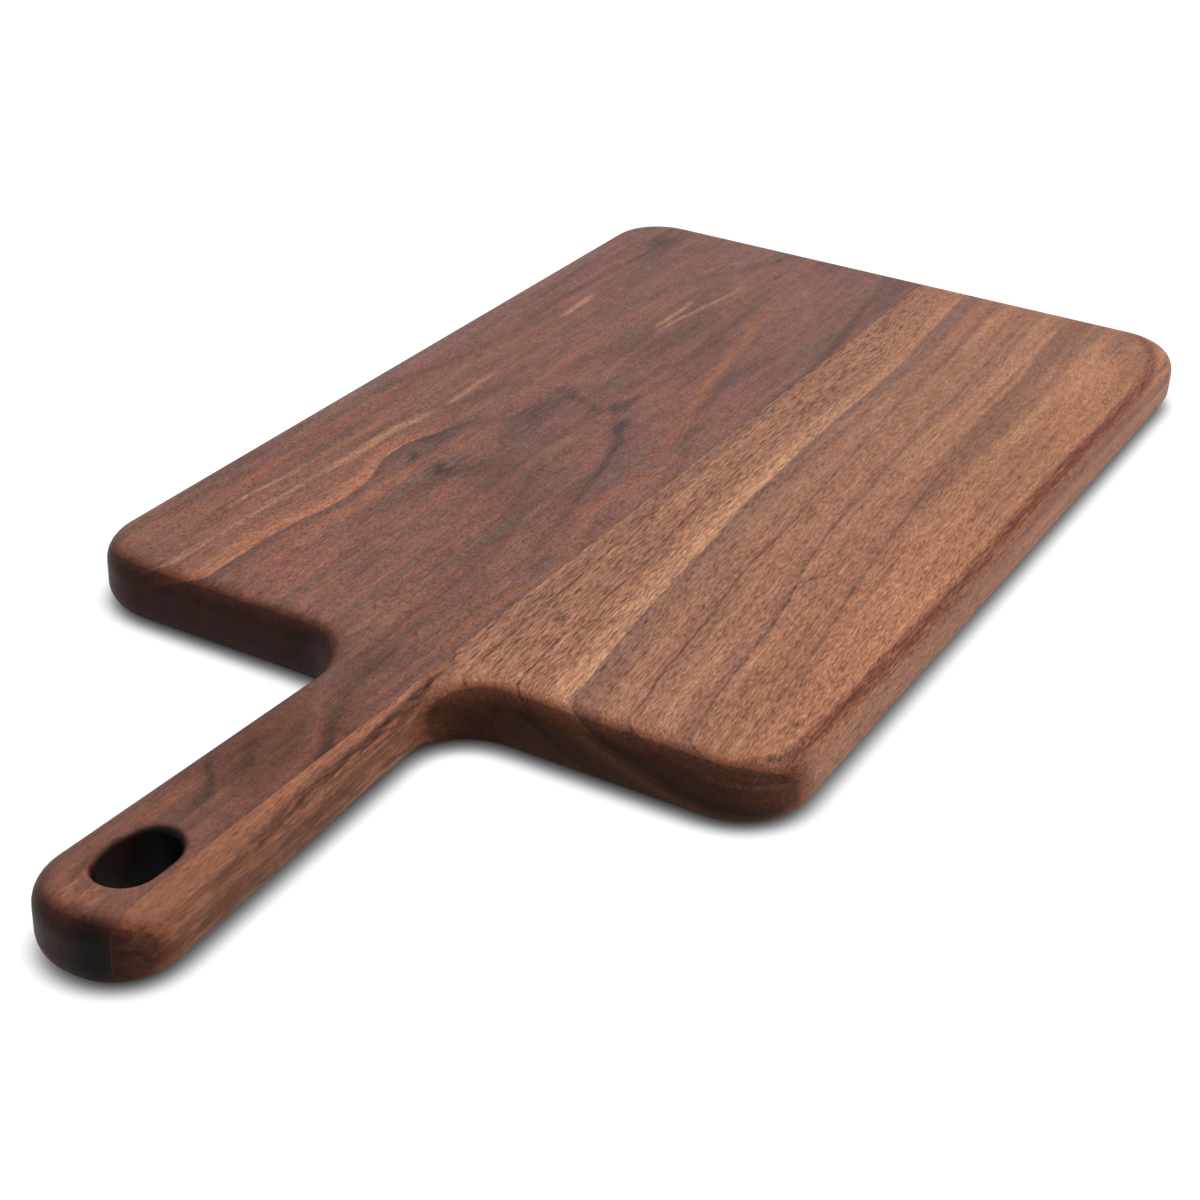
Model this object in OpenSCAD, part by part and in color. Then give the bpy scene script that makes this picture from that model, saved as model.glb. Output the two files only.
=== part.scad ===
// Paddle charcuterie board: two walnut boards glued edge to edge, then cut to a paddle
// outline with a hanging slot in the handle. All edges, top and bottom, are rounded over.
// The origin is under the middle of the whole board, and the handle points along -Y.

/* [Board] */
// Whole length, from the end of the handle to the far edge
board_length = 508; // [450:1:560]
// Width of the body
board_width = 245; // [200:1:290]
// Thickness of the finished boards
board_thickness = 22; // [18:0.5:28]
// Plan radius of the four body corners
body_corner_r = 23.5; // [14:0.5:45]
// Radius of the rounding along every outer edge, top and bottom
edge_round_r = 7.5; // [3:0.5:8]

/* [Handle] */
// Length of the handle, from its end to the near edge of the body
handle_length = 144; // [115:1:180]
// Narrowest width of the handle, where it leaves the body
handle_root_w = 33.3; // [30:0.1:39]
// Widest width of the handle, near its end
handle_end_w = 41.2; // [40:0.1:54]
// Plan radius of the inside curves between handle and body
root_fillet_r = 18.5; // [10:0.5:34]
// Plan radius of the two corners at the end of the handle
handle_corner_r = 19.5; // [12:0.5:20]

/* [Hanging slot] */
// Overall length of the slot, along the handle
slot_length = 25.5; // [20:0.5:36]
// Overall width of the slot, across the handle
slot_width = 17; // [10:0.5:18]
// Wood left between the slot and the end of the handle
slot_end_gap = 15.5; // [12:0.5:22]
// Radius of the rounding along both rims of the slot
slot_rim_r = 2.5; // [0.5:0.25:3]

/* [Glue line] */
// Distance of the glue line from the middle of the board, to the right
glue_x = 12.2; // [11.8:0.1:13.6]
// Thickness of the cured glue film between the two boards
glue_t = 0.1; // [0.04:0.02:0.3]

/* [Hidden] */
$fn = 96;

// Ends of the board, and the edges of the body
handle_end_y = -board_length / 2;
far_y = board_length / 2;
near_y = handle_end_y + handle_length;

// Middle of the right body corners
corner_x = board_width / 2 - body_corner_r;

// Middle of the curve between handle and body, on the right
fillet_x = handle_root_w / 2 + root_fillet_r;
fillet_y = near_y - root_fillet_r;

// Middle of the handle's right end corner
tip_x = handle_end_w / 2 - handle_corner_r;
tip_y = handle_end_y + handle_corner_r;

// The handle's side is the line that touches both of those curves: its lean from the board's axis
span = [fillet_x - tip_x, fillet_y - tip_y];
side_lean = atan2(span[1], span[0]) - acos((root_fillet_r + handle_corner_r) / norm(span));
side_length = sqrt(pow(norm(span), 2) - pow(root_fillet_r + handle_corner_r, 2));

// Direction square to the handle's right side, pointing outwards
side_out = [cos(side_lean), sin(side_lean)];

// Where the flat top stops, at the upper and lower ends of the handle's side
fillet_point = [fillet_x, fillet_y] - (root_fillet_r + edge_round_r) * side_out;
tip_point = [tip_x, tip_y] + (handle_corner_r - edge_round_r) * side_out;

// The slot: radius of its round ends and the middles of both
slot_r = slot_width / 2;
slot_low_y = handle_end_y + slot_end_gap + slot_r;
slot_high_y = handle_end_y + slot_end_gap + slot_length - slot_r;

// Room round the board for the blocks that part it along the glue line
beyond = 20;

// How far each edge reaches into the wood behind it, so that the two are one solid
lap = 2;

// The same for the lip of the slot, which has less wood round it
slot_lap = 0.3;

// Extra sweep of the handle's corners, which are then cut back
spare_angle = 1;

// Quarter of a disc in the first quadrant
module quarter_disc(r) {
    intersection() {
        circle(r = r);
        square(2 * r);
    }
}

// Section through an edge: w wide from the inside face, rounded by r on the outside
module edge_section(w, r) {
    square([w - r, board_thickness]);
    translate([w - r, r])
        square([r, board_thickness - 2 * r]);
    translate([w - r, board_thickness - r])
        quarter_disc(r);
    translate([w - r, r])
        mirror([0, 1])
            quarter_disc(r);
}

// Section through a hollow edge at a radius of at, rounded by r towards the middle,
// which reaches on into the wood behind it
module hollow_section(at, r, reach) {
    translate([at + r, 0])
        square([reach, board_thickness]);
    translate([at + r, 0])
        mirror([1, 0]) {
            translate([0, r])
                square([r, board_thickness - 2 * r]);
            translate([0, board_thickness - r])
                quarter_disc(r);
            translate([0, r])
                mirror([0, 1])
                    quarter_disc(r);
        }
}

// Straight edge: runs along +X for len, w deep, with its rounded side on the line y = 0
module straight_edge(len, w, r) {
    translate([0, w, 0])
        rotate([90, 0, 90])
            linear_extrude(len)
                mirror([1, 0])
                    edge_section(w, r);
}

// Outside corner of radius big, from the angle start through sweep
module outside_corner(big, r, start, sweep) {
    rotate([0, 0, start])
        rotate_extrude(angle = sweep)
            edge_section(big, r);
}

// Inside corner: a rounded lip round a hollow of radius at
module inside_corner(at, r, reach, start, sweep) {
    rotate([0, 0, start])
        rotate_extrude(angle = sweep)
            hollow_section(at, r, reach);
}

// Body of the board, without the strip where the handle joins it
module body_form() {
    translate([-corner_x, near_y + body_corner_r, 0])
        cube([2 * corner_x, board_length - handle_length - 2 * body_corner_r, board_thickness]);
    // Far edge
    translate([corner_x, far_y, 0])
        rotate([0, 0, 180])
            straight_edge(2 * corner_x, body_corner_r, edge_round_r);
    for (side = [0, 1])
        mirror([side, 0, 0]) {
            // Long side
            translate([board_width / 2, near_y + body_corner_r, 0])
                rotate([0, 0, 90])
                    straight_edge(board_length - handle_length - 2 * body_corner_r,
                                  body_corner_r, edge_round_r);
            // Near edge, out from the handle
            translate([fillet_x, near_y, 0])
                straight_edge(corner_x - fillet_x, body_corner_r, edge_round_r);
            // Corners
            translate([corner_x, far_y - body_corner_r, 0])
                outside_corner(body_corner_r, edge_round_r, 0, 90);
            translate([corner_x, near_y + body_corner_r, 0])
                outside_corner(body_corner_r, edge_round_r, -90, 90);
        }
}

// Right edge of the handle: inside corner, leaning side, end corner and half of the end
module handle_edge() {
    intersection() {
        translate([fillet_x, fillet_y, 0])
            rotate([0, 0, side_lean]) {
                // Inside corner, swept a little too far
                inside_corner(root_fillet_r, edge_round_r, lap, 180,
                              -90 - side_lean - spare_angle);
                // Side, down to the end corner
                translate([-root_fillet_r, -side_length, 0])
                    rotate([0, 0, 90])
                        straight_edge(side_length, edge_round_r + lap, edge_round_r);
                translate([-root_fillet_r - handle_corner_r, -side_length, 0]) {
                    // End corner, swept a little too far and cut back square to the end
                    intersection() {
                        outside_corner(handle_corner_r, edge_round_r, 0,
                                       -90 - side_lean - spare_angle);
                        rotate([0, 0, -side_lean])
                            translate([0, -handle_corner_r - beyond, -beyond])
                                cube([handle_corner_r + beyond, 2 * (handle_corner_r + beyond),
                                      board_thickness + 2 * beyond]);
                    }
                    // Half of the end, run on past the middle
                    rotate([0, 0, -side_lean])
                        translate([-tip_x - lap, -handle_corner_r, 0])
                            straight_edge(tip_x + lap, handle_corner_r, edge_round_r);
                }
            }
        // Cut back to the middle of the handle, and to where the near edge begins
        translate([0, handle_end_y - beyond, -beyond])
            cube([fillet_x, board_length, board_thickness + 2 * beyond]);
    }
}

// Handle, with the wood that joins it to the body
module handle_form() {
    // Wood between the rounded edges, which reach a little way into it
    linear_extrude(board_thickness)
        difference() {
            polygon([
                [fillet_x, near_y + body_corner_r],
                [fillet_x, fillet_y - lap],
                fillet_point - [lap / 2, lap],
                tip_point - [lap / 2, lap],
                [-tip_point[0] + lap / 2, tip_point[1] - lap],
                [-fillet_point[0] + lap / 2, fillet_point[1] - lap],
                [-fillet_x, fillet_y - lap],
                [-fillet_x, near_y + body_corner_r]
            ]);
            for (side = [0, 1])
                mirror([side, 0])
                    translate([fillet_x, fillet_y])
                        circle(r = root_fillet_r + edge_round_r + lap / 2);
        }
    handle_edge();
    mirror([1, 0, 0])
        handle_edge();
}

// Opening of the slot, grown by r all round
module slot_opening(r) {
    translate([-slot_r - r, slot_low_y, -beyond])
        cube([2 * slot_r + 2 * r, slot_high_y - slot_low_y, board_thickness + 2 * beyond]);
    for (end = [[slot_low_y, 180], [slot_high_y, 0]])
        translate([0, end[0], -beyond])
            rotate([0, 0, end[1]])
                rotate_extrude(angle = 180)
                    square([slot_r + r, board_thickness + 2 * beyond]);
}

// Rounded lip of the slot, which fills the grown opening back to its real size
module slot_lip() {
    for (end = [[slot_low_y, 180], [slot_high_y, 0]])
        translate([0, end[0], 0])
            inside_corner(slot_r, slot_rim_r, slot_lap, end[1], 180);
    for (side = [0, 1])
        mirror([side, 0, 0])
            translate([slot_r, slot_high_y, 0])
                rotate([0, 0, -90])
                    straight_edge(slot_high_y - slot_low_y, slot_rim_r + slot_lap, slot_rim_r);
}

// The whole board, before it is parted along the glue line
module board_form() {
    difference() {
        union() {
            body_form();
            handle_form();
        }
        slot_opening(slot_rim_r);
    }
    slot_lip();
}

// The slice of the whole board from x = from to x = to
module board_slice(from, to) {
    intersection() {
        board_form();
        translate([from, handle_end_y - beyond, -beyond])
            cube([to - from, board_length + 2 * beyond, board_thickness + 2 * beyond]);
    }
}

// Wider, darker board: most of the handle, with the slot, and the left of the body
module left_board() {
    color("#6b463b")
        board_slice(-board_width / 2 - beyond, glue_x - glue_t / 2);
}

// Film of cured wood glue along the whole joint
module glue_line() {
    color("#4a3028")
        board_slice(glue_x - glue_t / 2, glue_x + glue_t / 2);
}

// Narrower, lighter board: the right of the body and the handle's right edge
module right_board() {
    color("#9a6b51")
        board_slice(glue_x + glue_t / 2, board_width / 2 + beyond);
}

left_board();
glue_line();
right_board();
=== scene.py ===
# Paddle charcuterie board: two oiled walnut boards glued edge to edge.
# Lengths in this file are in millimetres, and become metres where Blender takes them.
import math

import bpy
from mathutils import Matrix, Vector

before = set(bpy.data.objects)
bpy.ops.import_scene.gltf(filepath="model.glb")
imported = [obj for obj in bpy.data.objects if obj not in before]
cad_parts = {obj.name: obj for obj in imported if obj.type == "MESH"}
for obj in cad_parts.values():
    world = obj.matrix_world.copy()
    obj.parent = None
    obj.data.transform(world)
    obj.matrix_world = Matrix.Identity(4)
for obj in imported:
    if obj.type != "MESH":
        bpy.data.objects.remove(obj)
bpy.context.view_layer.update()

MM = 0.001

# The board as the CAD has it
FAR_Y = 254.0
HANDLE_END_Y = -254.0
TOP_Z = 22.0


# Colours and nodes
def linear(hex_colour):
    """sRGB hex such as "#87594b" to linear RGBA."""
    parts = [int(hex_colour[i:i + 2], 16) / 255 for i in (1, 3, 5)]
    return [p / 12.92 if p <= 0.04045 else ((p + 0.055) / 1.055) ** 2.4 for p in parts] + [1.0]


def add(tree, kind, inputs=None, **settings):
    """Adds a node, sets its properties, and fills or links its inputs by name or number."""
    node = tree.nodes.new(kind)
    for name, value in settings.items():
        setattr(node, name, value)
    for key, value in (inputs or {}).items():
        if isinstance(value, bpy.types.Node):
            value = value.outputs[0]
        socket = node.inputs[key]
        if isinstance(value, bpy.types.NodeSocket):
            tree.links.new(value, socket)
        else:
            socket.default_value = value
    return node


def empty_material(name):
    material = bpy.data.materials.new(name)
    material.use_nodes = True
    material.node_tree.nodes.clear()
    return material, material.node_tree


# How walnut is put together
def station(y):
    """Place along the board as a share of its length, from the end of the handle."""
    return (y - HANDLE_END_Y) / (FAR_Y - HANDLE_END_Y)


def along_board(tree, share, points, low, high):
    """A value that changes along the board: points are (y, value), and values lie from low to high."""
    curve = add(tree, "ShaderNodeFloatCurve", {"Value": share})
    line = curve.mapping.curves[0]
    spots = sorted((station(y), (value - low) / (high - low)) for y, value in points)
    line.points[0].location, line.points[1].location = spots[0], spots[-1]
    for spot in spots[1:-1]:
        line.points.new(*spot)
    curve.mapping.update()
    return add(tree, "ShaderNodeMath", {0: curve, 1: high - low, 2: low}, operation="MULTIPLY_ADD")


def vein(wood, colour, tone, left, right, points):
    """Lays a streak of another tone that follows the rings. points are (y, x on the top face, strength),
    and the streak fades out left mm to its left and right mm to its right, and beyond its ends."""
    tree = wood["tree"]
    (first_y, first_x, _), (last_y, last_x, _) = points[0], points[-1]
    fade, near_end = 10, 12
    if first_y > HANDLE_END_Y + near_end:
        points = [(HANDLE_END_Y, first_x, 0.0), (first_y - fade, first_x, 0.0)] + points
    if last_y < FAR_Y - near_end:
        points = points + [(last_y + fade, last_x, 0.0), (FAR_Y, last_x, 0.0)]
    xs = [x for _, x, _ in points]
    low, high = min(xs) - 1, max(xs) + 1
    middle = along_board(tree, wood["share"], [(y, x) for y, x, _ in points], low, high)
    off = add(tree, "ShaderNodeMath", {0: wood["top_x"], 1: middle}, operation="SUBTRACT")
    to_left = add(tree, "ShaderNodeMath", {0: off, 1: -1 / left}, operation="MULTIPLY")
    to_right = add(tree, "ShaderNodeMath", {0: off, 1: 1 / right}, operation="MULTIPLY")
    reach = add(tree, "ShaderNodeMath", {0: to_left, 1: to_right}, operation="MAXIMUM")
    body = add(tree, "ShaderNodeMapRange", {"Value": reach, "From Min": 1.0, "From Max": 0.0},
               interpolation_type="SMOOTHSTEP")
    strength = along_board(tree, wood["share"], [(y, s) for y, _, s in points], 0.0, 1.0)
    mask = add(tree, "ShaderNodeMath", {0: body, 1: strength}, operation="MULTIPLY")
    mask = add(tree, "ShaderNodeMath", {0: mask, 1: wood["broken"]}, operation="MULTIPLY", use_clamp=True)
    return add(tree, "ShaderNodeMix", {0: mask, 6: colour, 7: linear(tone)}, data_type="RGBA").outputs[2]


def stain(wood, colour, tone, x, y, turn, half_wide, half_long, strength):
    """Lays a soft oval mark in the top face, long way along the grain before it is turned anticlockwise."""
    tree, half_deep = wood["tree"], 26.0
    local = add(tree, "ShaderNodeMapping", {"Vector": wood["moved"], "Location": (x, y, TOP_Z),
                                            "Rotation": (0, 0, math.radians(turn)),
                                            "Scale": (half_wide, half_long, half_deep)},
                vector_type="TEXTURE")
    reach = add(tree, "ShaderNodeVectorMath", {0: local}, operation="LENGTH")
    mask = add(tree, "ShaderNodeMapRange", {"Value": reach.outputs["Value"], "From Min": 1.0,
                                            "From Max": 0.0, "To Max": strength},
               interpolation_type="SMOOTHSTEP")
    mask = add(tree, "ShaderNodeMath", {0: mask, 1: wood["broken"]}, operation="MULTIPLY", use_clamp=True)
    return add(tree, "ShaderNodeMix", {0: mask, 6: colour, 7: linear(tone)}, data_type="RGBA").outputs[2]


def smooth_marks(wood):
    """The same wood for stains with a smooth edge, whose middle lies 10 mm below the top face."""
    below_top = 10
    lifted = add(wood["tree"], "ShaderNodeVectorMath", {0: wood["place"], 1: (0, 0, below_top)},
                 operation="ADD")
    return {**wood, "moved": lifted, "broken": 1.0}


def ring_tones(tree, ring, stops):
    """Tones across the growth rings: stops are (mm, tone)."""
    low, high = stops[0][0], stops[-1][0]
    share = add(tree, "ShaderNodeMapRange", {"Value": ring, "From Min": low, "From Max": high})
    ramp = add(tree, "ShaderNodeValToRGB", {0: share})
    tones = ramp.color_ramp.elements
    tones[0].color, tones[1].color = linear(stops[0][1]), linear(stops[-1][1])
    for mm, tone in stops[1:-1]:
        tones.new((mm - low) / (high - low)).color = linear(tone)
    return ramp.outputs[0]


def streaks(tree, place, wide, long, seed, detail=2.0, roughness=0.5):
    """Cloudy figure from 0 to 1 whose marks are wide mm across the grain and long mm along it."""
    scaled = add(tree, "ShaderNodeVectorMath", {0: place, 1: (1 / wide, 1 / long, 1 / wide),
                                                2: (seed * 7.3, seed * 3.1, seed * 5.7)},
                 operation="MULTIPLY_ADD")
    return add(tree, "ShaderNodeTexNoise", {"Vector": scaled, "Scale": 1.0, "Detail": detail,
                                            "Roughness": roughness}, noise_dimensions="3D")


def patches(tree, colour, figure, tone, start, full, strength):
    """Lays a tone where the figure passes from start to full."""
    mask = add(tree, "ShaderNodeMapRange", {"Value": figure, "From Min": start, "From Max": full,
                                            "To Max": strength}, interpolation_type="SMOOTHSTEP")
    return add(tree, "ShaderNodeMix", {0: mask, 6: colour, 7: linear(tone)}, data_type="RGBA").outputs[2]


def start_wood(tree, seed):
    """What the figure of one board is drawn from: place, the place in the wood in mm; moved, with its x and
    z, the same place moved a little, because grain is never quite straight; still_x and y, not moved; share,
    the way along the board from 0 to 1; and broken, how much of a streak the fibre leaves."""
    where = add(tree, "ShaderNodeTexCoord")
    place = add(tree, "ShaderNodeVectorMath", {0: where.outputs["Object"], "Scale": 1 / MM},
                operation="SCALE")
    slow = streaks(tree, place, 40, 150, seed, detail=1)
    quick = streaks(tree, place, 2.5, 26, seed + 0.4)
    feather = streaks(tree, place, 1.0, 22, seed + 0.8)
    # How far the grain moves, in mm: sideways over long and over short ways, and along itself
    wander, flutter, slide = 3.0, 1.5, 24.0
    across = add(tree, "ShaderNodeMath", {0: slow, 1: wander, 2: -(wander + flutter) / 2},
                 operation="MULTIPLY_ADD")
    across = add(tree, "ShaderNodeMath", {0: quick, 1: flutter, 2: across}, operation="MULTIPLY_ADD")
    along = add(tree, "ShaderNodeMath", {0: feather, 1: slide, 2: -slide / 2}, operation="MULTIPLY_ADD")
    shift = add(tree, "ShaderNodeCombineXYZ", {"X": across, "Y": along})
    moved = add(tree, "ShaderNodeVectorMath", {0: place, 1: shift}, operation="ADD")
    xyz = add(tree, "ShaderNodeSeparateXYZ", {0: moved})
    still = add(tree, "ShaderNodeSeparateXYZ", {0: place})
    share = add(tree, "ShaderNodeMapRange", {"Value": still.outputs["Y"], "From Min": HANDLE_END_Y,
                                             "From Max": FAR_Y})
    # Streaks are broken up by the fibre
    broken = streaks(tree, place, 0.8, 9, seed + 0.2)
    broken = add(tree, "ShaderNodeMath", {0: broken, 1: 2.4, 2: -0.2}, operation="MULTIPLY_ADD")
    return {"broken": broken, "tree": tree, "place": place, "moved": moved, "x": xyz.outputs["X"],
            "z": xyz.outputs["Z"], "y": still.outputs["Y"], "still_x": still.outputs["X"], "share": share}


def finish_walnut(wood, colour, level, grain, strong, pores, pore_wide, pore_long, seed):
    """Adds fibre, pores, the darker end grain and the oiled surface, and closes the material. level raises or
    lowers red, green and blue, grain is the length of the finest fibres, strong how much they show, and pores
    the size of the pores as a share of their spacing. Sanded and oiled walnut shows a soft satin: deep
    colour, a broad dim sheen and no mirror image."""
    tree, lined = wood["tree"], wood["lined"]
    # Real fibre is finer than the picture can show, so the finest is drawn 0.45 mm wide
    sand = streaks(tree, lined, 0.45, grain, seed, detail=1, roughness=0.6)
    fibre = streaks(tree, lined, 0.8, 5 * grain, seed + 0.1, roughness=0.6)
    streak = streaks(tree, lined, 2.2, 17 * grain, seed + 0.3)
    mottle = streaks(tree, lined, 4, 5, seed + 0.6, detail=1)
    # All four add up to about 1, which leaves the tones as they are on average
    value = add(tree, "ShaderNodeMath", {0: sand, 1: 2.0, 2: -1.0}, operation="MULTIPLY_ADD")
    value = add(tree, "ShaderNodeMath", {0: fibre, 1: 1.2, 2: value}, operation="MULTIPLY_ADD")
    value = add(tree, "ShaderNodeMath", {0: value, 1: -0.6}, operation="ADD")
    # The fibre shows most on the nearer half of the body and least on the handle
    depth = along_board(tree, wood["share"], [(-254, .45 * strong), (-200, .6 * strong),
                                              (-125, .8 * strong), (-60, 1.05 * strong), (50, .9 * strong),
                                              (254, .55 * strong)], 0, 2)
    value = add(tree, "ShaderNodeMath", {0: value, 1: depth, 2: 0.55}, operation="MULTIPLY_ADD")
    value = add(tree, "ShaderNodeMath", {0: streak, 1: 0.5, 2: value}, operation="MULTIPLY_ADD")
    value = add(tree, "ShaderNodeMath", {0: mottle, 1: 0.4, 2: value}, operation="MULTIPLY_ADD")
    colour = add(tree, "ShaderNodeVectorMath", {0: colour, 1: level}, operation="MULTIPLY")
    # Darker fibres are also redder
    warmth = add(tree, "ShaderNodeCombineXYZ", {"X": value, "Y": value, "Z": value})
    warmth = add(tree, "ShaderNodeVectorMath", {0: warmth, 1: (1.0, 1.14, 1.2), 2: (0.0, -0.14, -0.2)},
                 operation="MULTIPLY_ADD")
    colour = add(tree, "ShaderNodeVectorMath", {0: colour, 1: warmth}, operation="MULTIPLY")
    # Pores are cut vessels: dark dashes along the grain
    cells = add(tree, "ShaderNodeVectorMath", {0: wood["place"], 1: (1 / pore_wide, 1 / pore_long,
                                                                     1 / pore_wide)}, operation="MULTIPLY")
    vessel = add(tree, "ShaderNodeTexVoronoi", {"Vector": cells, "Scale": 1.0, "Randomness": 1.0})
    open_pore = add(tree, "ShaderNodeMath", {0: pores, 1: vessel.outputs["Distance"]}, operation="SUBTRACT")
    open_pore = add(tree, "ShaderNodeMapRange", {"Value": open_pore, "From Min": 0.0, "From Max": 0.10})
    # facing is 1 on the ends of the board, 0 on its long sides and less than 0 on its two faces. The pores
    # show on the faces and hardly elsewhere
    geometry = add(tree, "ShaderNodeNewGeometry")
    normal = add(tree, "ShaderNodeSeparateXYZ", {0: geometry.outputs["Normal"]})
    facing = add(tree, "ShaderNodeMath", {0: normal.outputs["Y"]}, operation="ABSOLUTE")
    level_part = add(tree, "ShaderNodeMath", {0: normal.outputs["Z"]}, operation="ABSOLUTE")
    facing = add(tree, "ShaderNodeMath", {0: level_part, 1: -0.42, 2: facing}, operation="MULTIPLY_ADD")
    pore_tint = add(tree, "ShaderNodeMapRange", {"Value": facing, "From Min": -0.30, "From Max": 0.0,
                                                 "To Min": 0.9, "To Max": 0.2})
    pore_tint = add(tree, "ShaderNodeMath", {0: open_pore, 1: pore_tint}, operation="MULTIPLY")
    colour = add(tree, "ShaderNodeMix", {0: pore_tint, 6: colour, 7: linear("#42231a")},
                 data_type="RGBA").outputs[2]
    # End grain drinks more oil and turns far darker
    ragged = add(tree, "ShaderNodeMath", {0: streak, 1: 0.2, 2: facing}, operation="MULTIPLY_ADD")
    soak = ring_tones(tree, ragged, [(-0.10, "#ffffff"), (0.10, "#fbf7f5"), (0.27, "#e0cdc7"),
                                     (0.40, "#cbb5ae"), (0.47, "#938582"), (1.00, "#857a77")])
    colour = add(tree, "ShaderNodeVectorMath", {0: colour, 1: soak}, operation="MULTIPLY")
    # Satin, a little duller where the fibre is light
    rough = add(tree, "ShaderNodeMath", {0: fibre, 1: 0.2, 2: 0.42}, operation="MULTIPLY_ADD")
    # The same fibre and pores, seen as relief a few hundredths of a millimetre deep
    ridges = streaks(tree, wood["place"], 0.6, 14, seed)
    pits = add(tree, "ShaderNodeMapRange", {"Value": vessel.outputs["Distance"], "From Min": 0.1,
                                            "From Max": 0.3})
    height = add(tree, "ShaderNodeMath", {0: pits, 1: 0.6, 2: ridges}, operation="MULTIPLY_ADD")
    bump = add(tree, "ShaderNodeBump", {"Strength": 0.35, "Distance": 0.1 * MM, "Height": height})
    shader = add(tree, "ShaderNodeBsdfPrincipled", {"Base Color": colour, "Roughness": rough, "Normal": bump,
                                                    "Specular IOR Level": 0.1})
    add(tree, "ShaderNodeOutputMaterial", {"Surface": shader})


# The right board
def light_rings(wood):
    """Rings of the right board. The heart of its log lies above the right edge, so they dip to the right.
    Adds top_x, where each place's ring meets the top face, and lined, the place with its grain straightened,
    and returns the ring's own place across the board."""
    tree = wood["tree"]
    # The grain leans to the left towards the far edge
    lean = along_board(tree, wood["share"], [(-254, 12), (-110, 0), (-100, -1.5), (-60, -5.5), (-20, -9.5),
                                             (20, -12.5), (60, -15.5), (100, -16.5), (140, -16.8),
                                             (180, -17.5), (220, -21.5), (254, -22)], -24, 14)
    straight_x = add(tree, "ShaderNodeMath", {0: wood["x"], 1: lean}, operation="SUBTRACT")
    # Ring edges show less on the sides than on the top
    shallow = add(tree, "ShaderNodeMapRange", {"Value": wood["z"], "From Min": 12.0, "From Max": 20.0,
                                               "To Min": 0.3})
    wood["broken"] = add(tree, "ShaderNodeMath", {0: wood["broken"], 1: shallow}, operation="MULTIPLY")
    # Heart of the log: each ring is followed up to where it meets the top face
    heart_x, heart_z = 127.0, 155.0
    aside = add(tree, "ShaderNodeMath", {0: heart_x, 1: wood["x"]}, operation="SUBTRACT")
    squared = add(tree, "ShaderNodeMath", {0: aside, 1: aside}, operation="MULTIPLY")
    under = add(tree, "ShaderNodeMath", {0: TOP_Z, 1: wood["z"]}, operation="SUBTRACT")
    above = add(tree, "ShaderNodeMath", {0: 2 * heart_z - TOP_Z, 1: wood["z"]}, operation="SUBTRACT")
    squared = add(tree, "ShaderNodeMath", {0: under, 1: above, 2: squared}, operation="MULTIPLY_ADD")
    reach = add(tree, "ShaderNodeMath", {0: squared, 1: 0.5}, operation="POWER")
    wood["top_x"] = add(tree, "ShaderNodeMath", {0: heart_x, 1: reach}, operation="SUBTRACT")
    ring = add(tree, "ShaderNodeMath", {0: wood["top_x"], 1: lean}, operation="SUBTRACT")
    wood["lined"] = add(tree, "ShaderNodeCombineXYZ", {"X": straight_x, "Y": wood["y"], "Z": wood["z"]})
    return ring


def light_ring_tones(wood, ring):
    """Tones of the right board's rings, which change towards the far end, with broad soft streaks on them."""
    tree = wood["tree"]
    # From the darkest to the lightest
    bark, umber, chestnut, dusk = "#66402f", "#784b37", "#87563e", "#8c5b46"
    plum, mauve, olive = "#81594a", "#895d4b", "#845845"
    brown, russet, straw, amber, honey = "#98674f", "#99654b", "#9c6a51", "#a36c4f", "#a26f53"
    near = ring_tones(tree, ring, [
        (-35, umber), (-26, chestnut), (-20, bark), (-12, chestnut), (-6, bark), (2, chestnut),
        (10, umber), (13, chestnut), (17, brown), (24, brown), (34, straw), (44, straw), (50, honey),
        (54, honey), (58, mauve), (66, brown), (92, brown), (99, russet), (105, russet), (112, amber),
        (121, amber), (128, amber), (134, russet)])
    far = ring_tones(tree, ring, [
        (-35, bark), (-6, bark), (6, umber), (20, dusk), (30, brown), (45, brown), (51, straw),
        (54.5, straw), (56.5, plum), (60, plum), (62.5, brown), (66, brown), (68, mauve), (71, brown),
        (84, brown), (88, straw), (97, straw), (98.5, olive), (107, olive), (113, honey), (120, amber),
        (131, amber), (138, russet), (144, dusk)])
    change = add(tree, "ShaderNodeMapRange", {"Value": wood["y"], "From Min": 0.0, "From Max": 150.0},
                 interpolation_type="SMOOTHSTEP")
    colour = add(tree, "ShaderNodeMix", {0: change, 6: near, 7: far}, data_type="RGBA").outputs[2]
    broad = streaks(tree, wood["lined"], 5, 110, 3.1, detail=2)
    colour = patches(tree, colour, broad, "#815546", 0.50, 0.72, 0.55)
    colour = patches(tree, colour, broad, "#ae785b", 0.48, 0.28, 0.6)
    return colour


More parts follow.
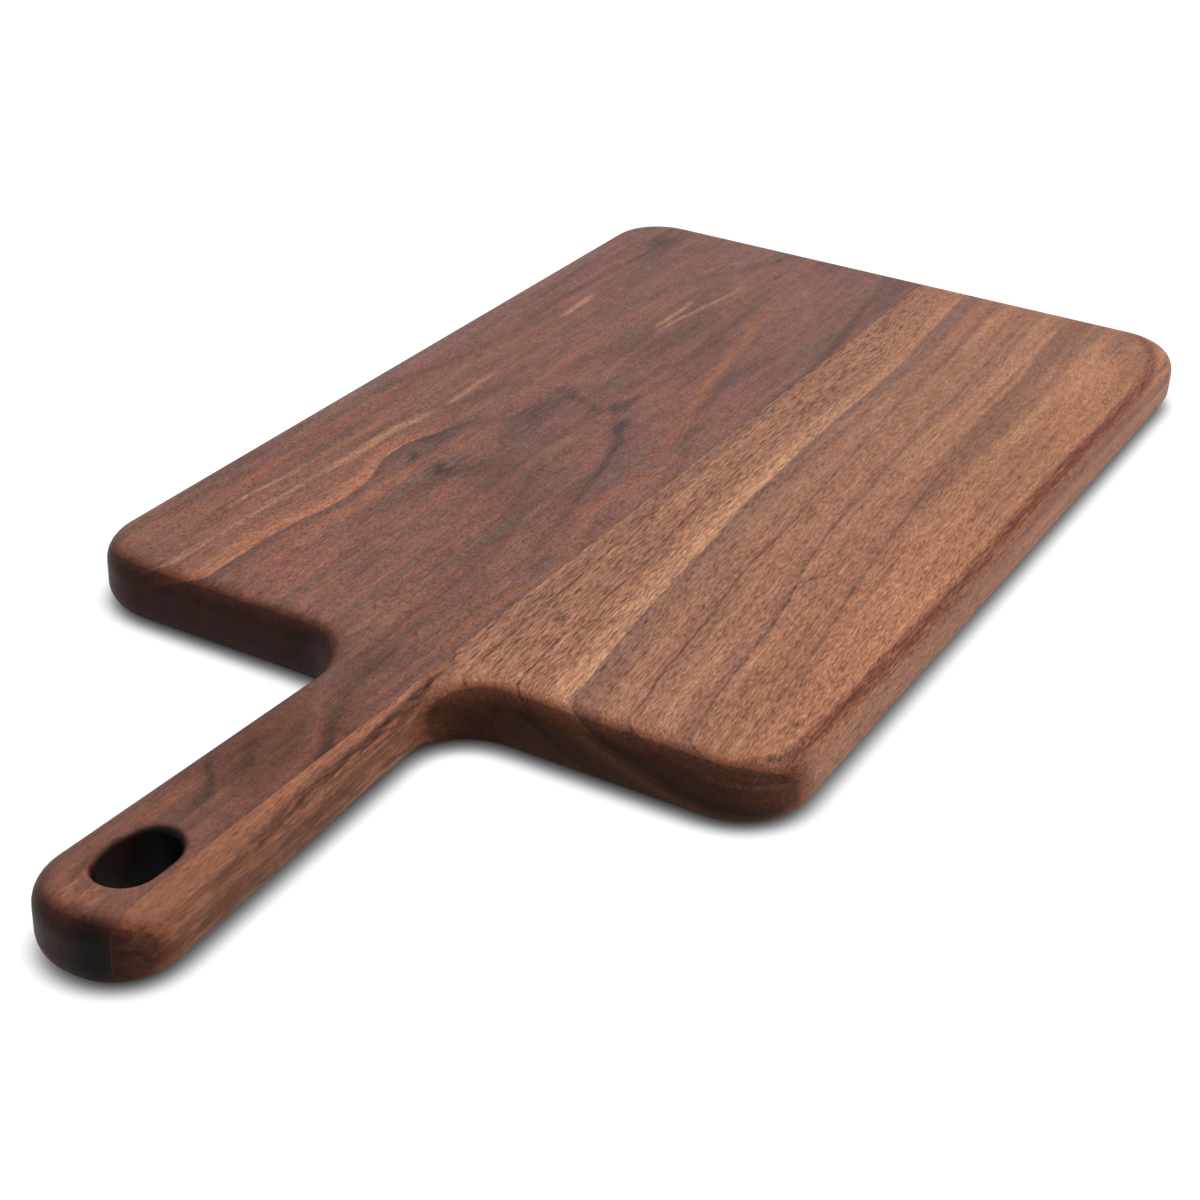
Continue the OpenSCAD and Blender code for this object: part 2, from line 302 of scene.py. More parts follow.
def light_streaks(wood, colour):
    """Golden strip of the right board, ring edges as thin dark lines, and soft streaks between them."""
    dark, shade = "#57382e", "#7d574a"
    marks = [
        ("#bb8766", 10, 0.7, [(-110, 54, .7), (-60, 48.5, .75), (-20, 44.5, .8), (20, 41.5, .95),
                              (60, 38.5, .85), (100, 37.5, .5), (160, 36.5, .2), (200, 34, .1),
                              (254, 32, .1)]),
        # Ring edges as dark lines, from left to right
        (dark, 1.1, 0.8, [(-110, 21.5, .5), (-60, 21, .55), (-20, 19.5, .5), (0, 18, .4),
                          (30, 17.5, .1)]),
        (shade, 2.5, 2.5, [(-70, 16.5, .4), (-30, 16.5, .6), (10, 15.5, .5), (40, 15, .3)]),
        (dark, 1.1, 0.8, [(-110, 37.5, .75), (-80, 35, .8), (-60, 34, .75), (-20, 32.5, .65),
                          (0, 30.5, .6), (20, 29, .5), (40, 28, .35), (80, 26, .3), (120, 25, .3),
                          (200, 23, .2)]),
        (dark, 0.5, 1.2, [(-110, 55.3, .4), (-80, 51.5, .3), (-40, 47, .3), (0, 44, .3), (40, 40, .3),
                          (80, 39, .3), (120, 38, .3), (160, 37.5, .3), (200, 35, .2)]),
        (shade, 0.3, 8.5, [(-110, 55.3, .8), (-80, 51.5, .8), (-40, 47, .75), (0, 44, .7),
                           (40, 40, .6)]),
        (shade, 0.3, 5.5, [(30, 41, .55), (80, 39, .75), (120, 38, .8), (160, 37.5, .8), (200, 35, .8),
                           (220, 33.5, .7), (254, 31, .6)]),
        (shade, 4, 0.8, [(-110, 73, .4), (-80, 69.5, .4), (-40, 65, .4), (0, 60, .4), (40, 58, .4),
                         (80, 55, .4), (120, 52, .4), (160, 50, .4), (200, 49, .4), (220, 48, .3),
                         (254, 45, .3)]),
        (dark, 0.9, 0.7, [(-110, 73, .6), (-80, 69.5, .7), (-40, 65, .7), (0, 60, .65), (20, 59.5, .55),
                          (40, 58, .45), (80, 55, .35), (120, 52, .3), (160, 50, .25), (200, 49, .2),
                          (220, 48, .2)]),
        (shade, 4, 0.8, [(-110, 92, .4), (-80, 88, .4), (-40, 83.5, .4), (0, 76, .4), (40, 71, .35),
                         (80, 69, .35), (120, 67, .35), (160, 66, .35), (200, 64, .35), (254, 61, .3)]),
        (dark, 0.9, 0.7, [(-110, 92, .45), (-80, 88, .55), (-60, 86, .6), (-40, 83.5, .65),
                          (-20, 80.5, .65), (0, 76, .55), (20, 73, .4), (40, 71, .4), (80, 69, .3),
                          (120, 67, .25), (160, 66, .2), (200, 64, .2)]),
        (shade, 3, 1.0, [(-100, 106, .3), (-60, 102, .4), (-20, 97.5, .5), (0, 94, .5), (40, 90, .5),
                         (80, 87, .5), (110, 84, .4)]),
        (dark, 1.0, 0.8, [(-60, 101, .1), (-20, 97, .3), (0, 94, .3), (40, 90, .35), (60, 88.5, .4),
                          (90, 86.5, .4), (110, 84, .2)]),
        # Darker wood beside the glue line
        (shade, 4, 4, [(10, 17, .2), (30, 17, .5), (60, 16, .6), (90, 15.5, .5), (120, 14, .35),
                       (160, 13, .25)]),
        # A golden and two grey streaks of the far half
        ("#b58263", 3, 1.5, [(70, 78, .4), (100, 78, .4), (140, 77, .3), (160, 76, .5), (225, 75.5, .5)]),
        (shade, 6, 5, [(185, 84, .3), (205, 86, .55), (225, 88.5, .7), (254, 90, .65)]),
        (shade, 9, 9, [(215, 103, .3), (228, 102, .7), (245, 101, .7), (254, 100, .6)])
    ]
    for mark in marks:
        colour = vein(wood, colour, *mark)
    return colour


def light_painted_edge_shading(wood, colour):
    """Marks of the right board that keep to its edge and not to its rings: painted shade and a painted
    highlight on its rounded edges, partly also a dark ring.
    """
    bands = [
        # A reddish band where the rounding of the right edge begins: partly a dark ring, partly painted shade
        # on the rounding
        ("#69392a", 4, 3.5, [(-105, 119.5, .8), (-40, 120, .9), (60, 120, 1), (140, 120, 1),
                             (200, 120, .9), (222, 117.5, .8), (236, 112.5, .7), (246, 105, .5)]),
        # A painted highlight and a band of painted shade on the rounding along the handle
        ("#96604a", 3, 2, [(-254, 15, .4), (-200, 14, .5), (-150, 13.5, .55), (-115, 13.2, .5)]),
        ("#3a2117", 1.8, 1.8, [(-240, 20, .2), (-186, 17.3, .75), (-156, 16.2, .9), (-121, 15.2, .85),
                               (-108, 16, .4)])
    ]
    for band in bands:
        colour = vein({**wood, "top_x": wood["x"]}, colour, *band)
    # Painted shade: a dark line that turns with the near corner, where the rounding begins
    colour = vein({**wood, "top_x": wood["still_x"]}, colour, "#55301f", 3, 1.8,
                  [(-103, 110.5, .3), (-100, 113.5, .6), (-96.5, 116.3, .65), (-91, 118.3, .6),
                   (-84, 119.2, .5), (-60, 119.5, .4), (0, 119.6, .3), (100, 119.6, .2), (190, 119.4, .2)])
    return colour


def light_handle(wood, colour):
    """Side of the handle, lined with short dark and amber streaks under a dark band, and its dark red end."""
    tree = wood["tree"]
    on_handle = add(tree, "ShaderNodeMapRange", {"Value": wood["y"], "From Min": -100.0, "From Max": -125.0})
    below_top = add(tree, "ShaderNodeMapRange", {"Value": wood["z"], "From Min": 21.0, "From Max": 18.0})
    lines = streaks(tree, wood["lined"], 1.3, 11, 8.1, detail=2)
    lines = add(tree, "ShaderNodeMath", {0: lines, 1: 0.5}, operation="SUBTRACT")
    lines = add(tree, "ShaderNodeMath", {0: lines, 1: on_handle}, operation="MULTIPLY")
    lines = add(tree, "ShaderNodeMath", {0: lines, 1: below_top}, operation="MULTIPLY")
    colour = patches(tree, colour, lines, "#452a20", 0.02, 0.16, 0.4)
    colour = patches(tree, colour, lines, "#a8745a", -0.02, -0.16, 0.4)
    wall = {**wood, "top_x": wood["z"], "broken": 1.0}
    colour = vein(wall, colour, "#3f241a", 5, 3.5, [(-200, 14, .1), (-188, 12, .45), (-176, 12, .6),
                                                    (-160, 13, .5), (-135, 14, .4), (-122, 14, .3)])
    return stain(smooth_marks(wood), colour, "#2c140d", 13.5, -256, 0, 7, 11, 1)


def light_end_grain(wood, colour):
    """Broad rings that show only below the top, on the near end of the body."""
    tree = wood["tree"]
    low = {**wood, "broken": add(tree, "ShaderNodeMapRange", {"Value": wood["z"], "From Min": 18.5,
                                                              "From Max": 15.0})}
    for tone, left, right, x in (("#e0a883", 9, 3, 50), ("#5f3c30", 0.5, 12, 57), ("#5f3c30", 4, 4, 34),
                                 ("#c58f70", 5, 5, 80), ("#5f3c30", 4, 4, 93)):
        colour = vein(low, colour, tone, left, right, [(-125, x, .8), (-104, x, .8)])
    return colour


def light_pores(wood, ring):
    """Size of the right board's pores, as a share of their spacing."""
    tree = wood["tree"]
    crowd = streaks(tree, wood["lined"], 4, 50, 2.7, detail=1)
    # They are largest beside the glue line, and get smaller across the golden strip
    zone = add(tree, "ShaderNodeMapRange", {"Value": ring, "From Min": 62.0, "From Max": 40.0,
                                            "To Min": 0.20, "To Max": 0.36}, interpolation_type="SMOOTHSTEP")
    pores = add(tree, "ShaderNodeMath", {0: crowd, 1: 0.3, 2: -0.15}, operation="MULTIPLY_ADD")
    pores = add(tree, "ShaderNodeMath", {0: pores, 1: zone}, operation="ADD")
    # The handle is cut from closer wood, with hardly a pore
    closed = add(tree, "ShaderNodeMapRange", {"Value": wood["y"], "From Min": -125.0, "From Max": -100.0,
                                              "To Min": -0.2, "To Max": 0.0})
    return add(tree, "ShaderNodeMath", {0: pores, 1: closed}, operation="ADD")


def light_walnut():
    """Straight-grained lighter walnut, sanded and oiled: clear lines along the board and open pores."""
    material, tree = empty_material("oiled_light_walnut")
    wood = start_wood(tree, seed=1)
    ring = light_rings(wood)
    colour = light_ring_tones(wood, ring)
    colour = light_streaks(wood, colour)
    # Painted shade and a painted highlight on the rounded edges
    colour = light_painted_edge_shading(wood, colour)
    colour = light_handle(wood, colour)
    colour = light_end_grain(wood, colour)
    pores = light_pores(wood, ring)
    finish_walnut(wood, colour, level=(1.20, 1.25, 1.30), grain=2.7, strong=0.88, pores=pores,
                  pore_wide=0.46, pore_long=8.0, seed=4)
    return material


# The left board, and first the tones of its streaks and stains
ORANGE, GOLD, SMOKE, SOOT = "#985f47", "#a8765a", "#63463f", "#4a3631"


def dark_rings(wood):
    """Rings of the left board, which is sawn flat, right above the heart of its log. Adds top_x, where each
    place's ring meets the top face, and lined, the place along the grain, and returns the rings' radius."""
    tree = wood["tree"]
    # Heart of the log, below the board: each ring is followed up to the top face
    heart_x, heart_below = -37.0, 104.0
    aside = add(tree, "ShaderNodeMath", {0: wood["x"], 1: -heart_x}, operation="ADD")
    aside_squared = add(tree, "ShaderNodeMath", {0: aside, 1: aside}, operation="MULTIPLY")
    under = add(tree, "ShaderNodeMath", {0: TOP_Z, 1: wood["z"]}, operation="SUBTRACT")
    above = add(tree, "ShaderNodeMath", {0: wood["z"], 1: TOP_Z + 2 * heart_below}, operation="ADD")
    drop = add(tree, "ShaderNodeMath", {0: under, 1: above}, operation="MULTIPLY")
    squared = add(tree, "ShaderNodeMath", {0: aside_squared, 1: drop}, operation="SUBTRACT")
    squared = add(tree, "ShaderNodeMath", {0: squared, 1: 0.0}, operation="MAXIMUM")
    reach = add(tree, "ShaderNodeMath", {0: squared, 1: 0.5}, operation="POWER")
    side = add(tree, "ShaderNodeMath", {0: aside}, operation="SIGN")
    wood["top_x"] = add(tree, "ShaderNodeMath", {0: reach, 1: side, 2: heart_x}, operation="MULTIPLY_ADD")
    wood["lined"] = add(tree, "ShaderNodeCombineXYZ", {"X": wood["x"], "Y": wood["y"], "Z": wood["z"]})
    # Veins show less on the sides than on the top
    shallow = add(tree, "ShaderNodeMapRange", {"Value": wood["z"], "From Min": 11.0, "From Max": 19.0,
                                               "To Min": 0.3})
    wood["broken"] = add(tree, "ShaderNodeMath", {0: wood["broken"], 1: shallow}, operation="MULTIPLY")
    # The rings' own radius, with the heart sinking away towards the far edge, which draws the arches
    heart = along_board(tree, wood["share"], [(-254, 103), (-100, 104), (0, 107), (50, 111), (80, 114),
                                              (150, 118), (254, 124)], 100, 126)
    deep = add(tree, "ShaderNodeMath", {0: heart, 1: wood["z"]}, operation="ADD")
    radius = add(tree, "ShaderNodeMath", {0: deep, 1: deep, 2: aside_squared}, operation="MULTIPLY_ADD")
    radius = add(tree, "ShaderNodeMath", {0: radius, 1: 0.5}, operation="POWER")
    return radius


def dark_ring_tones(wood, radius):
    """Arched rings of the left board, with clouds and bands of other tones over them, and a painted sheen
    that greys it towards the far end.
    """
    tree = wood["tree"]
    base, warm, grey, line = "#7b5044", "#835346", "#714b42", "#694338"
    arches = ring_tones(tree, radius, [
        (100, base), (104, warm), (106, line), (108, base), (112, warm), (115, line), (116, base),
        (120, grey), (123, warm), (125, line), (126, base), (128, warm), (129.5, line), (130.5, base),
        (133, warm), (134.5, grey), (136, base), (138, warm), (140, line), (141, base), (144, warm),
        (146, grey), (148, base), (151, line), (152, base), (156, warm), (159, line), (160, base),
        (166, warm), (172, base)])
    # Greyer towards the far end: painted sheen, the grey glint of the satin where it is seen at a grazing
    # angle
    far = add(tree, "ShaderNodeMapRange", {"Value": wood["y"], "From Min": 0.0, "From Max": 230.0,
                                           "To Max": 0.45})
    colour = add(tree, "ShaderNodeMix", {0: far, 6: arches, 7: linear("#805a50")},
                 data_type="RGBA").outputs[2]
    cloud = streaks(tree, wood["moved"], 12, 90, 5.2, detail=2)
    colour = patches(tree, colour, cloud, "#65463e", 0.48, 0.68, 0.7)
    band = streaks(tree, wood["moved"], 4, 50, 5.9, detail=2)
    # The wood is warmer towards its left edge and the handle
    lower_left = add(tree, "ShaderNodeVectorMath", {0: wood["moved"], 1: (-0.008, -0.0035, 0.0)},
                     operation="DOT_PRODUCT")
    warmer = add(tree, "ShaderNodeMath", {0: lower_left.outputs["Value"], 1: 0.12, 2: -0.05},
                 operation="MULTIPLY_ADD")
    warmer = add(tree, "ShaderNodeMath", {0: warmer, 1: band}, operation="ADD")
    colour = patches(tree, colour, warmer, "#935d48", 0.50, 0.70, 0.5)
    colour = patches(tree, colour, band, "#68463d", 0.45, 0.28, 0.45)
    # Here and there the heartwood turns greenish grey or rosy
    shift = streaks(tree, wood["moved"], 5, 60, 5.5, detail=2)
    colour = patches(tree, colour, shift, "#6d5648", 0.52, 0.68, 0.5)
    colour = patches(tree, colour, shift, "#8d5a50", 0.48, 0.32, 0.35)
    return colour


def dark_streaks(wood, colour):
    """Veins of the left board, and its amber, golden, reddish and grey streaks."""
    marks = [
        # Winding vein of the left-hand side, with amber on its left and soft streaks on both sides
        (ORANGE, 20, 2, [(-110, -75, .6), (-87, -76, .6), (-59, -75, .55), (-35, -73, .5),
                         (-14, -76, .4), (3, -78, .3)]),
        ("#a66b4f", 9, 0.8, [(-110, -74.5, 1), (-87, -75, 1), (-59, -74, 1), (-35, -71.5, 1),
                             (-14, -75, .9), (3, -77.5, .7), (27, -72, .3)]),
        (SOOT, 0.6, 5, [(-110, -74, .34), (-87, -74.5, .36), (-59, -73.3, .38), (-35, -70.8, .42),
                        (-24, -71.9, .5), (-14, -74.5, .62), (3, -77, .65), (11, -75.5, .65),
                        (27, -71.3, .6), (37, -68.3, .35)]),
        ("#935f50", 6, 6, [(-100, -65, .4), (-60, -65, .6), (-20, -65, .5)]),
        ("#96614a", 5, 5, [(-110, -95, .3), (-60, -94, .45), (0, -94.5, .5), (50, -95.5, .4),
                           (110, -96, .2)]),
        (ORANGE, 5, 4, [(-90, -64.5, .4), (-60, -64, .6), (-30, -64, .7), (-5, -64.5, .4)]),
        (SMOKE, 1.5, 1.2, [(-48, -61.7, .5), (-27, -61.7, .5)]),
        # Dark vein down from the knot
        (SOOT, 4, 2.4, [(-50, 2, .25), (-36, 0.4, .38), (-26, -1.4, .46), (-13, -3.1, .5), (1, -6, .56),
                        (16, -8.9, .62), (29, -11.7, .66), (39, -14.6, .72), (51, -17.4, .8),
                        (62, -22, .55)]),
        # Golden streaks of the left-hand side
        (GOLD, 2.2, 1.8, [(-105, -89.5, .6), (-60, -88.6, .6), (-21, -88.1, .6)]),
        (GOLD, 3.6, 3.2, [(-25, -87.5, .5), (-7, -86.7, .8), (8, -87, 1), (20, -86.3, .9),
                          (31, -84.6, .7)]),
        (GOLD, 1.8, 1.8, [(44, -83.1, .6), (60, -83.5, .7), (76, -83.9, .4)]),
        (GOLD, 1.6, 1.6, [(-62, -98, .6), (-42, -96.7, .9), (-27, -96, .6)]),
        (GOLD, 2.4, 2.4, [(136, -91.5, .6), (144, -91.8, 1), (154, -92, .9), (162, -92.4, .3)]),
        (GOLD, 1.9, 1.9, [(146, -53, .5), (165, -51, .8), (185, -49, .7), (203, -47, .4)]),
        (GOLD, 1.9, 1.9, [(148, -56, .6), (164, -56, .8), (178, -56.4, .4)]),
        # Reddish streaks
        (ORANGE, 4.5, 4.5, [(60, -4.5, .3), (90, -10.5, .6), (125, -17, .7), (157, -22, .6),
                            (192, -28, .4)]),
        (ORANGE, 4, 4, [(79, -68, .5), (100, -68.8, .6), (122, -69.5, .4)]),
        ("#8b523f", 4, 4, [(-100, -106, .4), (-60, -105, .5), (-20, -104, .6), (25, -103.5, .6),
                           (60, -103, .3)]),
        (ORANGE, 2.5, 2.5, [(205, -67, .3), (225, -61, .6), (240, -55, .6)]),
        (ORANGE, 4, 4, [(190, -40, .2), (220, -37, .4), (254, -36, .4)]),
        (ORANGE, 5, 4.5, [(-30, 6, .5), (-10, 3.5, .6), (5, 1.7, .7), (25, 3.5, .5), (50, 6, .3)]),
        (ORANGE, 5, 4, [(-100, 8, .4), (-75, 8, .6), (-50, 9, .4)]),
        # Grey streaks beside them
        (SOOT, 4, 4, [(85, -36, .2), (110, -34, .45), (150, -31, .4), (192, -34, .2)]),
        (SMOKE, 3, 3, [(200, -63, .3), (215, -58, .6), (242, -47, .6), (254, -44, .5)]),
        ("#7c5f55", 9, 9, [(-20, -117, .5), (60, -117, .6), (120, -117, .5), (200, -117, .4)]),
        # Dark band beside the glue line at the far end
        (SOOT, 3.5, 2.5, [(149, 11, .4), (167, 10.4, .5), (181, 9, .6), (198, 6, .6), (215, 3.3, .5),
                          (237, 0.5, .4), (254, -1, .5)]),
        # Lighter wood beside the glue line, nearer
        ("#8f6052", 4, 3, [(10, 9.5, .3), (40, 9.5, .5), (130, 9, .5), (150, 9, .2)]),
        # Arched ring edges, grey lines of the handle and its root, and a dark streak at the far left
        (SMOKE, 1.2, 1.2, [(-70, -48.9, .5), (-48.6, -44.6, .6), (-38, -38, .6), (-30, -32, .5)]),
        (SMOKE, 1.2, 1.2, [(-84, -26, .5), (-51, -27, .5)]),
        (SMOKE, 2.5, 2.5, [(-128, -3, .3), (-112, -2.6, .5)]),
        (SOOT, 3, 3, [(125, -101, .4), (150, -100.5, .5), (190, -99, .4), (225, -98, .4)])
    ]
    for mark in marks:
        colour = vein(wood, colour, *mark)
    return colour


def dark_stains(wood, colour):
    """Knot of the left board, with its feather, and its patches and specks."""
    marks = [
        # Knot at the top of the arches, with its feather
        (SOOT, -53, 52, 4, 10, 36, .65), (SOOT, -50, 73, 69, 6, 17, .75),
        (SMOKE, -47, 32, 6, 10, 30, .6), (SMOKE, -39, 38, 0, 5, 16, .5),
        (ORANGE, -33, 36, 0, 4, 14, .6), (ORANGE, -26, 50, 0, 3.5, 8, .4),
        (SOOT, -37, 67.5, 60, 4, 9, .75), ("#3f2c28", -31, 73, 0, 5.5, 9, .8),
        (SOOT, -30, 82, 0, 2.5, 9, .8), ("#46332e", -23.5, 61, 20, 5.5, 12, .7),
        ("#8b5c4f", -30.3, 65.2, 0, 4.5, 4, .9),
        # Grey patch, dark specks, and soft patches elsewhere
        (SOOT, -69, 19, 8, 7, 24, .6), (SOOT, -52, 2, -60, 8, 26, .4),
        (SMOKE, -38, -6, 80, 5, 14, .5), (ORANGE, -47, -14, 0, 6, 9, .6),
        ("#3a2926", -69.3, -0.5, 20, 4.5, 6, .9), ("#3a2926", -55.5, -3, 45, 6, 9, .9),
        (SOOT, -55.3, 7.9, 0, 2.5, 5, .5), (SOOT, -47.4, 9.3, 0, 2.5, 5, .5),
        (SOOT, -22, 17, 0, 3, 5, .5), (SOOT, -99, 228, -10, 10, 14, .7),
        (SMOKE, -51, 232, -20, 5, 18, .5), (SMOKE, -37, -70, 10, 6, 22, .4),
        (ORANGE, -19, -90, 0, 9, 16, .4), (ORANGE, -42, -88, 0, 5, 18, .4),
        (SMOKE, -42, -33, -8, 2, 26, .25)
    ]
    for mark in marks:
        colour = stain(wood, colour, *mark)
    return colour


def dark_handle(wood, colour):
    """Handle, darker than the body: partly darker heartwood with its own figure, partly painted shade as the
    light falls off towards the handle; and its nearly black end.
    """
    tree = wood["tree"]
    # Darker towards the handle: partly darker heartwood, partly painted shade
    handle = along_board(tree, wood["share"], [(-254, .3), (-235, .25), (-205, .28), (-185, .58),
                                               (-160, .65), (-140, .36), (-118, .2), (-95, 0),
                                               (254, 0)], 0, 1)
    colour = add(tree, "ShaderNodeMix", {0: handle, 6: colour, 7: linear("#55301f")},
                 data_type="RGBA").outputs[2]
    marks = [
        ("#865340", 4, 4, [(-185, 10.5, .4), (-167.5, 9.6, .6), (-160, 5.9, .6), (-148.5, 0.3, .5),
                           (-140, -5, .3)]),
        ("#3b261f", 4, 3, [(-172, 12, .3), (-163.5, 11.7, .6), (-157.5, 9.6, .7), (-150, 5.9, .6),
                           (-138.5, 1.5, .45), (-127.5, -1.6, .4), (-112.5, -2.3, .4)]),
        ("#3b261f", 5, 3.5, [(-188, -0.5, .2), (-180, -1, .5), (-175, -3, .65), (-168, -6.5, .4)]),
        ("#3b261f", 3.5, 3, [(-204, -0.8, .3), (-197.5, -1.2, .55), (-191.5, -3.5, .65), (-186, -8, .6),
                             (-180, -12, .4)]),
        ("#8a5540", 4, 4, [(-212, -8, .4), (-205, -8, .6), (-195, -9, .6)]),
        ("#7e4e39", 1.5, 1.5, [(-215, 1.5, .4), (-190, 1, .4)])
    ]
    for mark in marks:
        colour = vein(wood, colour, *mark)
    # Amber patch at the end, dark patch beside the slot, and painted shade in the hollow left of the handle's
    # root
    patches_here = [
        ("#9a6248", -2, -246, 80, 6, 13, .7), ("#4b2e26", -8, -232, 0, 3, 12, .6),
        ("#211715", -37, -115, 0, 11, 7, .85)
    ]
    for patch in patches_here:
        colour = stain(wood, colour, *patch)
    # The black of the end has a smooth edge, and is laid twice to be dense
    smooth = smooth_marks(wood)
    colour = stain(smooth, colour, "#0c0808", 8, -256, 0, 11, 12, 1)
    colour = stain(smooth, colour, "#0c0808", 9, -256, 0, 9, 11, 1)
    return colour


def painted_slot_shade(wood, colour):
    """Painted shade in the slot: its walls and the lip round its opening are laid nearly black."""
    tree = wood["tree"]
    # The painted shade lies within an oval round the middle of the slot, a little wider than the opening
    middle, half_size = (0.5, -224.75, TOP_Z / 2), (10.8, 15.1, 20.0)
    slot = add(tree, "ShaderNodeMapping", {"Vector": wood["place"], "Location": middle, "Scale": half_size},
               vector_type="TEXTURE")
    near_slot = add(tree, "ShaderNodeVectorMath", {0: slot}, operation="LENGTH")
    slot_shade = add(tree, "ShaderNodeMapRange", {"Value": near_slot.outputs["Value"], "From Min": 1.14,
                                            "From Max": 0.97, "To Max": 0.97},
               interpolation_type="SMOOTHSTEP")
    return add(tree, "ShaderNodeMix", {0: slot_shade, 6: colour, 7: linear("#0c0605")},
               data_type="RGBA").outputs[2]


def dark_walnut():
    """Flat-sawn dark walnut, sanded and oiled: arched rings that open towards the handle, with a small knot
    at their top, and short fine pores."""
    material, tree = empty_material("oiled_dark_walnut")
    wood = start_wood(tree, seed=2)
    radius = dark_rings(wood)
    colour = dark_ring_tones(wood, radius)
    colour = dark_streaks(wood, colour)
    colour = dark_stains(wood, colour)
    colour = dark_handle(wood, colour)
    # Painted shade in the slot
    colour = painted_slot_shade(wood, colour)
    crowd = streaks(tree, wood["lined"], 3, 30, 6.7, detail=1)
    pores = add(tree, "ShaderNodeMath", {0: crowd, 1: 0.3, 2: 0.07}, operation="MULTIPLY_ADD")
    finish_walnut(wood, colour, level=(1.15, 1.22, 1.29), grain=1.8, strong=0.78, pores=pores,
                  pore_wide=0.45, pore_long=3.5, seed=7)
    return material


def cured_glue():
    """Cured wood glue, scraped flush and sanded with the boards: a thin line darker than the wood."""
    material, tree = empty_material("cured_wood_glue")
    where = add(tree, "ShaderNodeTexCoord")
    specks_per_metre = 300.0
    speck = add(tree, "ShaderNodeTexNoise", {"Vector": where.outputs["Object"], "Scale": specks_per_metre,
                                             "Detail": 2.0})
    tone = add(tree, "ShaderNodeMix", {0: speck, 6: linear("#33201a"), 7: linear("#4b3128")},
               data_type="RGBA").outputs[2]
    shader = add(tree, "ShaderNodeBsdfPrincipled", {"Base Color": tone, "Roughness": 0.5,
                                                    "Specular IOR Level": 0.3})
    add(tree, "ShaderNodeOutputMaterial", {"Surface": shader})
    return material


for node, material in (("left_board", dark_walnut()), ("right_board", light_walnut()),
                       ("glue_line", cured_glue())):
    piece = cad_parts[node]
    piece.data.materials.clear()
    piece.data.materials.append(material)


# Floor, light and camera
def seen_white(tree):
    """1 for the camera, reflections and clear pieces, and 0 for the light that falls on the board."""
    path = add(tree, "ShaderNodeLightPath")
    seen = add(tree, "ShaderNodeMath", {0: path.outputs["Is Camera Ray"], 1: path.outputs["Is Glossy Ray"]},
               operation="MAXIMUM")
    return add(tree, "ShaderNodeMath", {0: seen, 1: path.outputs["Is Transmission Ray"]},
               operation="MAXIMUM")


def floor_material():
    """White paper sweep: pure white to the camera, with a soft dark shadow close under the board, and a dull
    grey to the board itself, so that its sides aren't lit from below."""
    material, tree = empty_material("white_paper_sweep")
    seen = seen_white(tree)
    # Close under the board hardly any light gets in, so the paper is nearly black there
    close = add(tree, "ShaderNodeAmbientOcclusion", {"Distance": 8.5 * MM}, samples=16)
    dim = add(tree, "ShaderNodeFloatCurve", {"Value": close.outputs["AO"]})
    fall = dim.mapping.curves[0]
    fall.points[0].location, fall.points[1].location = (0.0, 0.0), (1.0, 1.0)
    for spot in ((0.1, 0.04), (0.22, 0.10), (0.35, 0.19), (0.45, 0.31), (0.53, 0.44), (0.6, 0.57),
                 (0.7, 0.76), (0.8, 0.885), (0.9, 0.975)):
        fall.points.new(*spot)
    dim.mapping.update()
    # The paper glows nearly white by itself, and the light that falls on it adds the rest
    paper = add(tree, "ShaderNodeVectorMath", {0: dim, "Scale": 0.2}, operation="SCALE")
    white = add(tree, "ShaderNodeBsdfDiffuse", {"Color": paper})
    lift = add(tree, "ShaderNodeEmission", {"Color": dim, "Strength": 0.99})
    bright = add(tree, "ShaderNodeAddShader", {0: white, 1: lift})
    dull = add(tree, "ShaderNodeBsdfDiffuse", {"Color": linear("#6c6c6c")})
    both = add(tree, "ShaderNodeMixShader", {0: seen, 1: dull, 2: bright})
    add(tree, "ShaderNodeOutputMaterial", {"Surface": both})
    return material


def make_floor():
    half = 3000 * MM
    mesh = bpy.data.meshes.new("floor")
    mesh.from_pydata([(-half, -half, 0), (half, -half, 0), (half, half, 0), (-half, half, 0)], [],
                     [(0, 1, 2, 3)])
    floor = bpy.data.objects.new("floor", mesh)
    bpy.context.scene.collection.objects.link(floor)
    mesh.materials.append(floor_material())


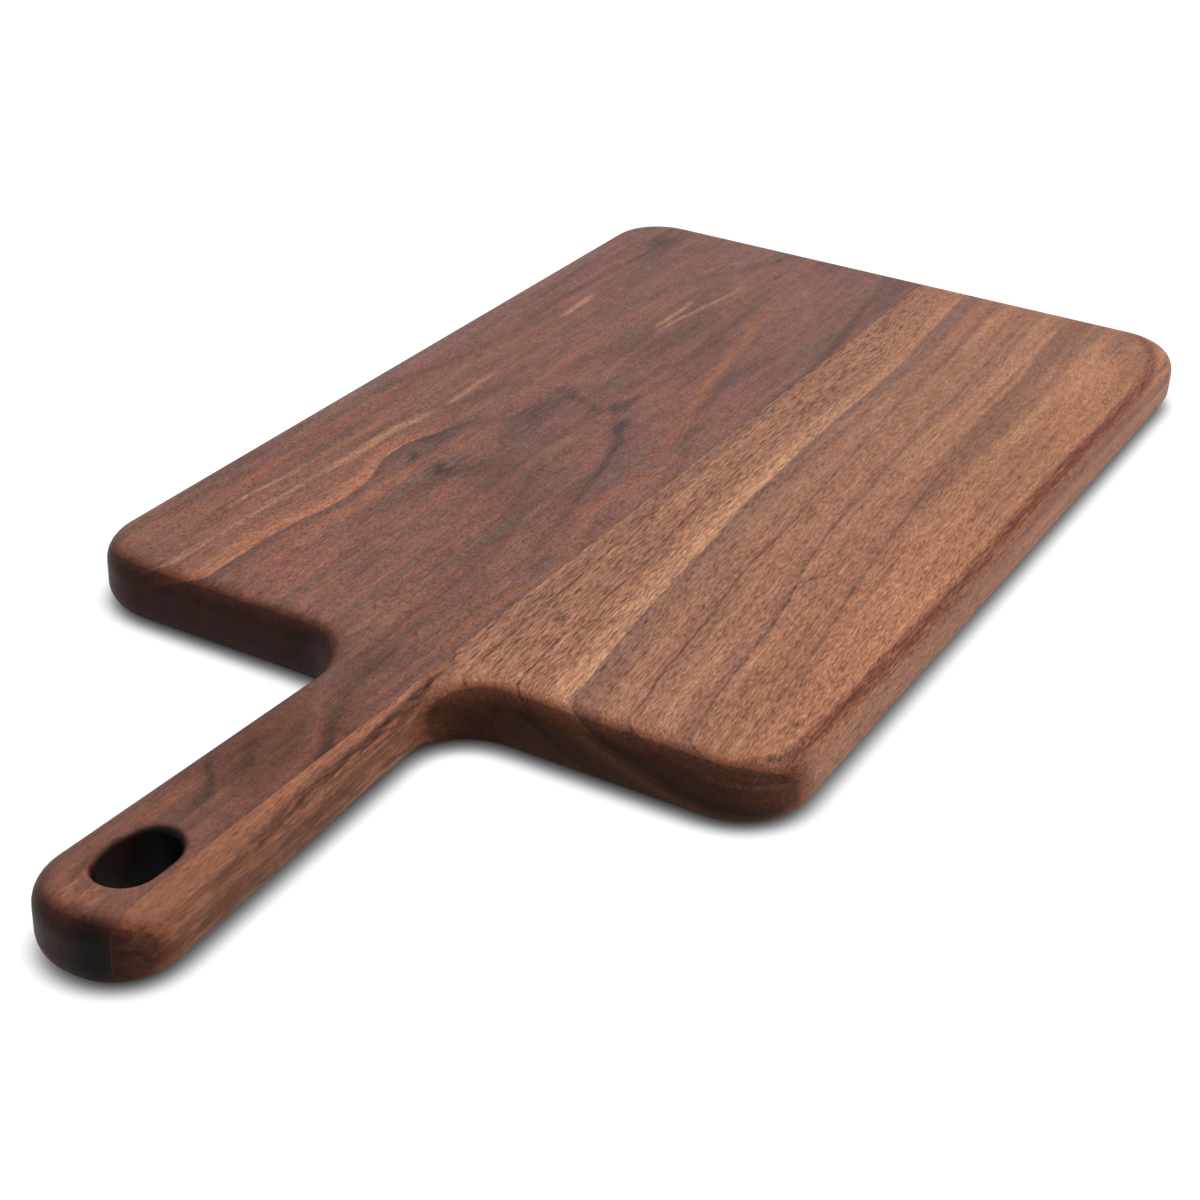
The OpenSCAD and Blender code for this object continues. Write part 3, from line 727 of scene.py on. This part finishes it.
def make_world():
    """White all round where it is seen, and soft light on the board, mostly from above and behind."""
    world = bpy.data.worlds.new("studio")
    bpy.context.scene.world = world
    world.use_nodes = True
    tree = world.node_tree
    tree.nodes.clear()
    seen = seen_white(tree)
    white = add(tree, "ShaderNodeBackground", {"Color": (1, 1, 1, 1), "Strength": 1.0})
    where = add(tree, "ShaderNodeTexCoord")
    axis = add(tree, "ShaderNodeSeparateXYZ", {0: where.outputs["Generated"]})
    rise = add(tree, "ShaderNodeMapRange", {"Value": axis.outputs["Z"], "From Min": 0.0, "From Max": 1.0,
                                            "To Min": 0.1, "To Max": 0.9})
    back = add(tree, "ShaderNodeMapRange", {"Value": axis.outputs["Y"], "From Min": -1.0, "From Max": 1.0,
                                            "To Min": 0.2, "To Max": 1.5})
    strength = add(tree, "ShaderNodeMath", {0: rise, 1: back}, operation="MULTIPLY")
    soft = add(tree, "ShaderNodeBackground", {"Color": (1, 1, 1, 1), "Strength": strength})
    both = add(tree, "ShaderNodeMixShader", {0: seen, 1: soft, 2: white})
    add(tree, "ShaderNodeOutputWorld", {"Surface": both})


def add_sun(name, azimuth, elevation, strength, softness):
    """A far light, from azimuth degrees anticlockwise of -Y seen from above and elevation degrees up, which
    is softness degrees across."""
    lamp = bpy.data.lights.new(name, "SUN")
    lamp.energy = strength
    lamp.angle = math.radians(softness)
    obj = bpy.data.objects.new(name, lamp)
    bpy.context.scene.collection.objects.link(obj)
    a, e = math.radians(azimuth), math.radians(elevation)
    towards = Vector((math.sin(a) * math.cos(e), -math.cos(a) * math.cos(e), math.sin(e)))
    obj.rotation_euler = towards.to_track_quat("Z", "Y").to_euler()


def make_camera():
    """The photograph's own view, found by fitting a camera to the board's outline."""
    picture_px, sensor_mm = 1200, 36.0
    azimuth, elevation, roll = math.radians(28.83), math.radians(29.606), math.radians(2.279)
    target = Vector((13.838, -16.299, 0.0))
    distance = 725.097
    focal_px = 2245.966
    back = Vector((math.sin(azimuth) * math.cos(elevation), -math.cos(azimuth) * math.cos(elevation),
                   math.sin(elevation)))
    right = (-back).cross(Vector((0, 0, 1))).normalized()
    up = right.cross(-back)
    right, up = right * math.cos(roll) + up * math.sin(roll), up * math.cos(roll) - right * math.sin(roll)
    place = Matrix((right, up, back)).transposed().to_4x4()
    place.translation = (target + back * distance) * MM
    data = bpy.data.cameras.new("camera")
    data.sensor_width = sensor_mm
    data.sensor_fit = "HORIZONTAL"
    data.lens = focal_px * sensor_mm / picture_px
    data.clip_start, data.clip_end = 0.01, 20.0
    camera = bpy.data.objects.new("camera", data)
    bpy.context.scene.collection.objects.link(camera)
    camera.matrix_world = place
    bpy.context.scene.camera = camera


make_floor()
make_world()
add_sun("key", azimuth=105, elevation=40, strength=1.9, softness=40)
make_camera()
bpy.context.scene.view_settings.view_transform = "Standard"
